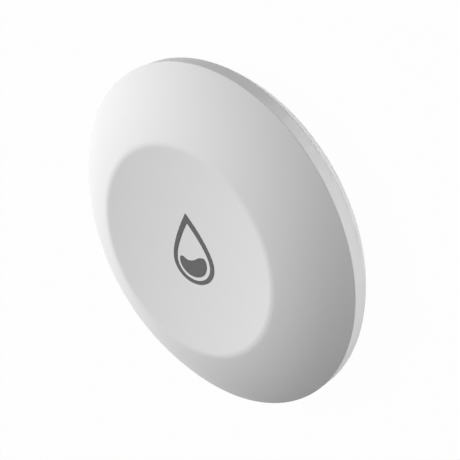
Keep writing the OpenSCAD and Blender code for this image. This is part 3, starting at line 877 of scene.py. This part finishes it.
class SENSOR_OT_cell(bpy.types.Operator):
    """Coin cell and the two strips that touch it"""

    bl_idname = "leak_sensor.cell"
    bl_label = "Coin Cell"

    def execute(self, context):
        c = colours()
        steel = brushed_metal("cell_steel", c.cell_steel, 0.28, (0.06, 1, 1))
        for node in ("cell_can", "cell_cap"):
            dress(node, steel)
        dress("cell_ring", black_plastic())
        dress("cell_core", rubber("cell_filling", c.cell_powder))
        strip = brushed_metal("contact_strip", c.gold_flash, 0.25, (0.1, 1, 1))
        for node in ("minus_contact", "plus_contact"):
            dress(node, strip)
        return {"FINISHED"}


def seen_straight(tree):
    """1 where a surface is seen by the camera, in a reflection or through something clear."""
    paths = tree.nodes.new("ShaderNodeLightPath")
    value = paths.outputs["Is Camera Ray"]
    for name in ("Is Glossy Ray", "Is Transmission Ray"):
        either = tree.nodes.new("ShaderNodeMath")
        either.operation = "MAXIMUM"
        tree.links.new(value, either.inputs[0])
        tree.links.new(paths.outputs[name], either.inputs[1])
        value = either.outputs["Value"]
    return value


def pale_floor(shade, white_share):
    """Floor that shows as white with the object's shadow left on it, and is clear from below."""
    made = Recipe("pale_floor", shade, 0.9)
    made.feed("Base Color", made.tint(made.noise(3, 3), *shades(shade, 0.01)))
    made.bump(made.noise(900, 3), 1e-5, 0.2)
    made.surface.inputs["Specular IOR Level"].default_value = 0.1
    share = made.reckon("MULTIPLY", seen_straight(made.material.node_tree), white_share)
    glow = made.nodes.new("ShaderNodeEmission")
    glow.inputs["Strength"].default_value = 1.0
    mix = made.nodes.new("ShaderNodeMixShader")
    made.links.new(share, mix.inputs["Fac"])
    made.links.new(made.surface.outputs["BSDF"], mix.inputs[1])
    made.links.new(glow.outputs["Emission"], mix.inputs[2])
    clear = made.nodes.new("ShaderNodeBsdfTransparent")
    sides = made.nodes.new("ShaderNodeNewGeometry")
    below = made.nodes.new("ShaderNodeMixShader")
    made.links.new(sides.outputs["Backfacing"], below.inputs["Fac"])
    made.links.new(mix.outputs["Shader"], below.inputs[1])
    made.links.new(clear.outputs["BSDF"], below.inputs[2])
    made.links.new(below.outputs["Shader"], made.nodes["Material Output"].inputs["Surface"])
    return made.material


def white_surround(strength):
    """World that shows as white and lights the sensor evenly at its own strength."""
    world = bpy.data.worlds.new("surround")
    world.use_nodes = True
    nodes = world.node_tree.nodes
    links = world.node_tree.links
    light = nodes["Background"]
    light.inputs["Color"].default_value = (1, 1, 1, 1)
    light.inputs["Strength"].default_value = strength
    shown = nodes.new("ShaderNodeBackground")
    shown.inputs["Color"].default_value = (1, 1, 1, 1)
    shown.inputs["Strength"].default_value = 1.0
    mix = nodes.new("ShaderNodeMixShader")
    links.new(seen_straight(world.node_tree), mix.inputs["Fac"])
    links.new(light.outputs["Background"], mix.inputs[1])
    links.new(shown.outputs["Background"], mix.inputs[2])
    links.new(mix.outputs["Shader"], nodes["World Output"].inputs["Surface"])
    return world


def softbox(name, bearing, elevation, width, height, watts, distance):
    """A flat lamp that faces the sensor; bearing from +X towards +Y, both angles in degrees."""
    lamp = bpy.data.lights.new(name, "AREA")
    lamp.shape = "RECTANGLE"
    lamp.size = width
    lamp.size_y = height
    lamp.energy = watts
    holder = bpy.data.objects.new(name, lamp)
    bpy.context.scene.collection.objects.link(holder)
    turn = math.radians(bearing)
    rise = math.radians(elevation)
    way = Vector((math.cos(turn) * math.cos(rise), math.sin(turn) * math.cos(rise), math.sin(rise)))
    holder.location = way * distance
    holder.rotation_euler = way.to_track_quat("Z", "Y").to_euler()


# Name, bearing and elevation in degrees, width and height in metres, watts, and distance in metres
LAMPS = (
    ("key softbox", 157, 45.5, 0.9, 1.1, 61.5, 2.5),
    ("low strip", 0, 0.6, 0.4, 0.01, 1.2, 0.6),
    ("under softbox", 5, -48, 0.5, 0.5, 2.1, 0.7),
)


class SENSOR_OT_stage(bpy.types.Operator):
    """Pale floor, soft lamps and the camera"""

    bl_idname = "leak_sensor.stage"
    bl_label = "Stage"

    def execute(self, context):
        t = studio()
        scene = context.scene
        shape = bmesh.new()
        bmesh.ops.create_grid(shape, x_segments=8, y_segments=8, size=t.floor_size / 2)
        ground = place("floor", shape)
        ground.data.materials.append(pale_floor(t.floor_colour, t.white_share))
        ground.location.z = -t.floor_gap
        ground.visible_shadow = False
        for lamp in LAMPS:
            softbox(*lamp)
        scene.world = white_surround(t.surround_light)
        back = Vector((
            math.cos(t.bearing) * math.cos(t.elevation),
            math.sin(t.bearing) * math.cos(t.elevation),
            math.sin(t.elevation),
        ))
        level = Vector((-math.sin(t.bearing), math.cos(t.bearing), 0))
        rise = back.cross(level)
        right = level * math.cos(t.roll) - rise * math.sin(t.roll)
        up = level * math.sin(t.roll) + rise * math.cos(t.roll)
        middle = Vector((0, 0, sizes().crease_height))
        spot = middle + back * t.distance + right * t.aim_right + up * t.aim_up
        lens = bpy.data.cameras.new("camera")
        lens.lens = t.lens
        lens.sensor_width = SENSOR_WIDTH
        lens.clip_start = NEAREST
        lens.clip_end = FARTHEST
        camera = bpy.data.objects.new("camera", lens)
        camera.matrix_world = Matrix.Translation(spot) @ Matrix((right, up, back)).transposed().to_4x4()
        scene.collection.objects.link(camera)
        scene.camera = camera
        scene.view_settings.view_transform = "Standard"
        return {"FINISHED"}


PIECES = (
    SENSOR_OT_cover,
    SENSOR_OT_dish,
    SENSOR_OT_drop,
    SENSOR_OT_base,
    SENSOR_OT_door,
    SENSOR_OT_studs,
    SENSOR_OT_seals,
    SENSOR_OT_board,
    SENSOR_OT_switch,
    SENSOR_OT_cell,
    SENSOR_OT_stage,
)


class SENSOR_PT_pieces(bpy.types.Panel):
    """Buttons for the sensor's pieces and stage"""

    bl_idname = "SENSOR_PT_pieces"
    bl_label = "Leak Sensor"
    bl_space_type = "VIEW_3D"
    bl_region_type = "UI"
    bl_category = "Leak Sensor"

    def draw(self, context):
        for piece in PIECES:
            self.layout.operator(piece.bl_idname)


GROUPS = {
    "leak_sensor_body": BodySizes,
    "leak_sensor_door": DoorSizes,
    "leak_sensor_colours": FinishColours,
    "leak_sensor_studio": StudioSizes,
}


def register():
    """Makes the sizes, operators and panel known to Blender."""
    for name, group in GROUPS.items():
        bpy.utils.register_class(group)
        setattr(bpy.types.Scene, name, bpy.props.PointerProperty(type=group))
    for piece in PIECES:
        bpy.utils.register_class(piece)
    bpy.utils.register_class(SENSOR_PT_pieces)


def unregister():
    """Takes them out again."""
    bpy.utils.unregister_class(SENSOR_PT_pieces)
    for piece in reversed(PIECES):
        bpy.utils.unregister_class(piece)
    for name, group in GROUPS.items():
        delattr(bpy.types.Scene, name)
        bpy.utils.unregister_class(group)


def main():
    register()
    bpy.ops.leak_sensor.cover()
    bpy.ops.leak_sensor.dish()
    bpy.ops.leak_sensor.drop()
    bpy.ops.leak_sensor.base()
    bpy.ops.leak_sensor.door()
    bpy.ops.leak_sensor.studs()
    bpy.ops.leak_sensor.seals()
    bpy.ops.leak_sensor.board()
    bpy.ops.leak_sensor.switch()
    bpy.ops.leak_sensor.cell()
    bpy.ops.leak_sensor.stage()


if __name__ == "__main__":
    main()
